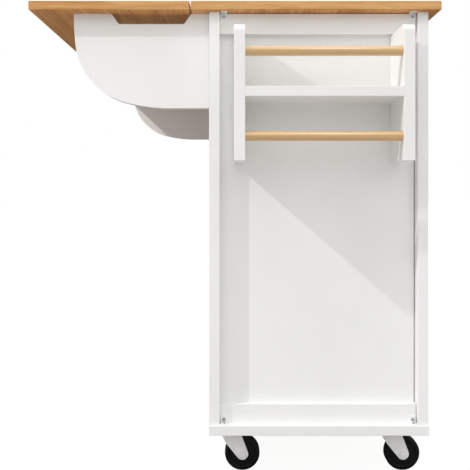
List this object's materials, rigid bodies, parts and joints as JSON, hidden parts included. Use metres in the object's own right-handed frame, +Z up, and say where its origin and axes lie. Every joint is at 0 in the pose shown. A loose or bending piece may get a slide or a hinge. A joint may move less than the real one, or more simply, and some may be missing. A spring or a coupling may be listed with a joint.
{
  "type": "rolling kitchen island",
  "caption": "White cabinet on swivel casters with a honey wood top, a drop leaf on swing-out brackets, an end rack with dowel bars, and drawers over doors.",
  "frame": {"origin": "on the floor, under the middle of the bounding box with the leaf raised", "axes": "+X from the rack end to the far end, +Y from the door side to the leaf side, +Z up"},
  "size_m": [0.856, 0.773, 0.9046],
  "materials": {
    "honey_wood": "clear satin lacquer",
    "white_paint": "satin white paint on wood",
    "beech": "clear matte lacquer",
    "birch_ply": "clear matte lacquer",
    "zinc_steel": "zinc plated",
    "screw_steel": "dull zinc plated",
    "fork_paint": "satin white powder coat",
    "black_rubber": "matte",
    "satin_nickel": "satin nickel",
    "grey_plastic": "matte"
  },
  "bodies": {
    "cabinet": {"base_board": "white_paint", "end_rails": "white_paint", "back_panel": "white_paint", "front_top_rail": "white_paint", "drawer_deck": "white_paint", "drawer_divider": "white_paint", "runner_channels": "zinc_steel", "inner_shelf": "white_paint", "shelf_pins": "zinc_steel", "worktop": "honey_wood", "corner_angles": "fork_paint", "pan_head_screws": "screw_steel", "rack_side_plates": "white_paint", "rack_shelf": "white_paint", "rack_dowels": "beech", "surface_hinge_leaves": "zinc_steel", "door_hinge_leaves": "zinc_steel", "hinge_pins": "zinc_steel", "magnetic_catches": "grey_plastic", "caster_plates": "zinc_steel", "near_back_post": "white_paint", "near_front_post": "white_paint", "near_end_panel": "white_paint", "far_back_post": "white_paint", "far_front_post": "white_paint", "far_end_panel": "white_paint"},
    "leaf": {"drop_leaf": "honey_wood", "leaf_hinge_flaps": "zinc_steel"},
    "near_bracket": {"near_bracket": "white_paint", "near_bracket_hinge_flaps": "zinc_steel"},
    "near_drawer": {"near_drawer_front": "white_paint", "near_drawer_wrap": "birch_ply", "near_drawer_bottom": "birch_ply", "near_drawer_slides": "zinc_steel", "near_drawer_knob": "satin_nickel"},
    "near_door": {"near_door": "white_paint", "near_door_knob": "satin_nickel", "near_door_hinge_flaps": "zinc_steel"},
    "near_back_caster": {"near_back_fork": "fork_paint", "near_back_axle": "fork_paint"},
    "near_back_wheel": {"near_back_wheel": "black_rubber"},
    "near_front_caster": {"near_front_fork": "fork_paint", "near_front_axle": "fork_paint"},
    "near_front_wheel": {"near_front_wheel": "black_rubber"},
    "far_bracket": {"far_bracket": "white_paint", "far_bracket_hinge_flaps": "zinc_steel"},
    "far_drawer": {"far_drawer_front": "white_paint", "far_drawer_wrap": "birch_ply", "far_drawer_bottom": "birch_ply", "far_drawer_slides": "zinc_steel", "far_drawer_knob": "satin_nickel"},
    "far_door": {"far_door": "white_paint", "far_door_knob": "satin_nickel", "far_door_hinge_flaps": "zinc_steel"},
    "far_back_caster": {"far_back_fork": "fork_paint", "far_back_axle": "fork_paint"},
    "far_back_wheel": {"far_back_wheel": "black_rubber"},
    "far_front_caster": {"far_front_fork": "fork_paint", "far_front_axle": "fork_paint"},
    "far_front_wheel": {"far_front_wheel": "black_rubber"}
  },
  "joints": [
    {"name": "leaf_lift", "type": "hinge", "parent": "cabinet", "child": "leaf", "pos_m": [0, 0.0841, 0.8848], "axis": [1, 0, 0], "range_deg": [0, 5]},
    {"name": "near_bracket_swing", "type": "hinge", "parent": "cabinet", "child": "near_bracket", "pos_m": [-0.3116, 0.0518, 0.79745], "axis": [0, 0, -1], "range_deg": [0, 90]},
    {"name": "near_drawer_slide", "type": "slide", "parent": "cabinet", "child": "near_drawer", "axis": [0, -1, 0], "range_m": [0, 0.25]},
    {"name": "near_door_swing", "type": "hinge", "parent": "cabinet", "child": "near_door", "pos_m": [-0.3104, -0.3675, 0.4135], "axis": [0, 0, -1], "range_deg": [0, 110]},
    {"name": "near_back_swivel", "type": "hinge", "parent": "cabinet", "child": "near_back_caster", "pos_m": [-0.286, 0.0072, 0.0729], "axis": [0, 0, 1], "continuous": true},
    {"name": "near_back_roll", "type": "hinge", "parent": "near_back_caster", "child": "near_back_wheel", "pos_m": [-0.286, -0.0143, 0.0342], "axis": [1, 0, 0], "continuous": true},
    {"name": "near_front_swivel", "type": "hinge", "parent": "cabinet", "child": "near_front_caster", "pos_m": [-0.286, -0.3074, 0.0729], "axis": [0, 0, 1], "continuous": true},
    {"name": "near_front_roll", "type": "hinge", "parent": "near_front_caster", "child": "near_front_wheel", "pos_m": [-0.286, -0.3289, 0.0342], "axis": [1, 0, 0], "continuous": true},
    {"name": "far_bracket_swing", "type": "hinge", "parent": "cabinet", "child": "far_bracket", "pos_m": [0.3806, 0.0518, 0.79745], "axis": [0, 0, 1], "range_deg": [0, 90]},
    {"name": "far_drawer_slide", "type": "slide", "parent": "cabinet", "child": "far_drawer", "axis": [0, -1, 0], "range_m": [0, 0.25]},
    {"name": "far_door_swing", "type": "hinge", "parent": "cabinet", "child": "far_door", "pos_m": [0.3794, -0.3675, 0.4135], "axis": [0, 0, 1], "range_deg": [0, 110]},
    {"name": "far_back_swivel", "type": "hinge", "parent": "cabinet", "child": "far_back_caster", "pos_m": [0.355, 0.0072, 0.0729], "axis": [0, 0, 1], "continuous": true},
    {"name": "far_back_roll", "type": "hinge", "parent": "far_back_caster", "child": "far_back_wheel", "pos_m": [0.355, -0.0143, 0.0342], "axis": [1, 0, 0], "continuous": true},
    {"name": "far_front_swivel", "type": "hinge", "parent": "cabinet", "child": "far_front_caster", "pos_m": [0.355, -0.3074, 0.0729], "axis": [0, 0, 1], "continuous": true},
    {"name": "far_front_roll", "type": "hinge", "parent": "far_front_caster", "child": "far_front_wheel", "pos_m": [0.355, -0.3289, 0.0342], "axis": [1, 0, 0], "continuous": true}
  ]
}
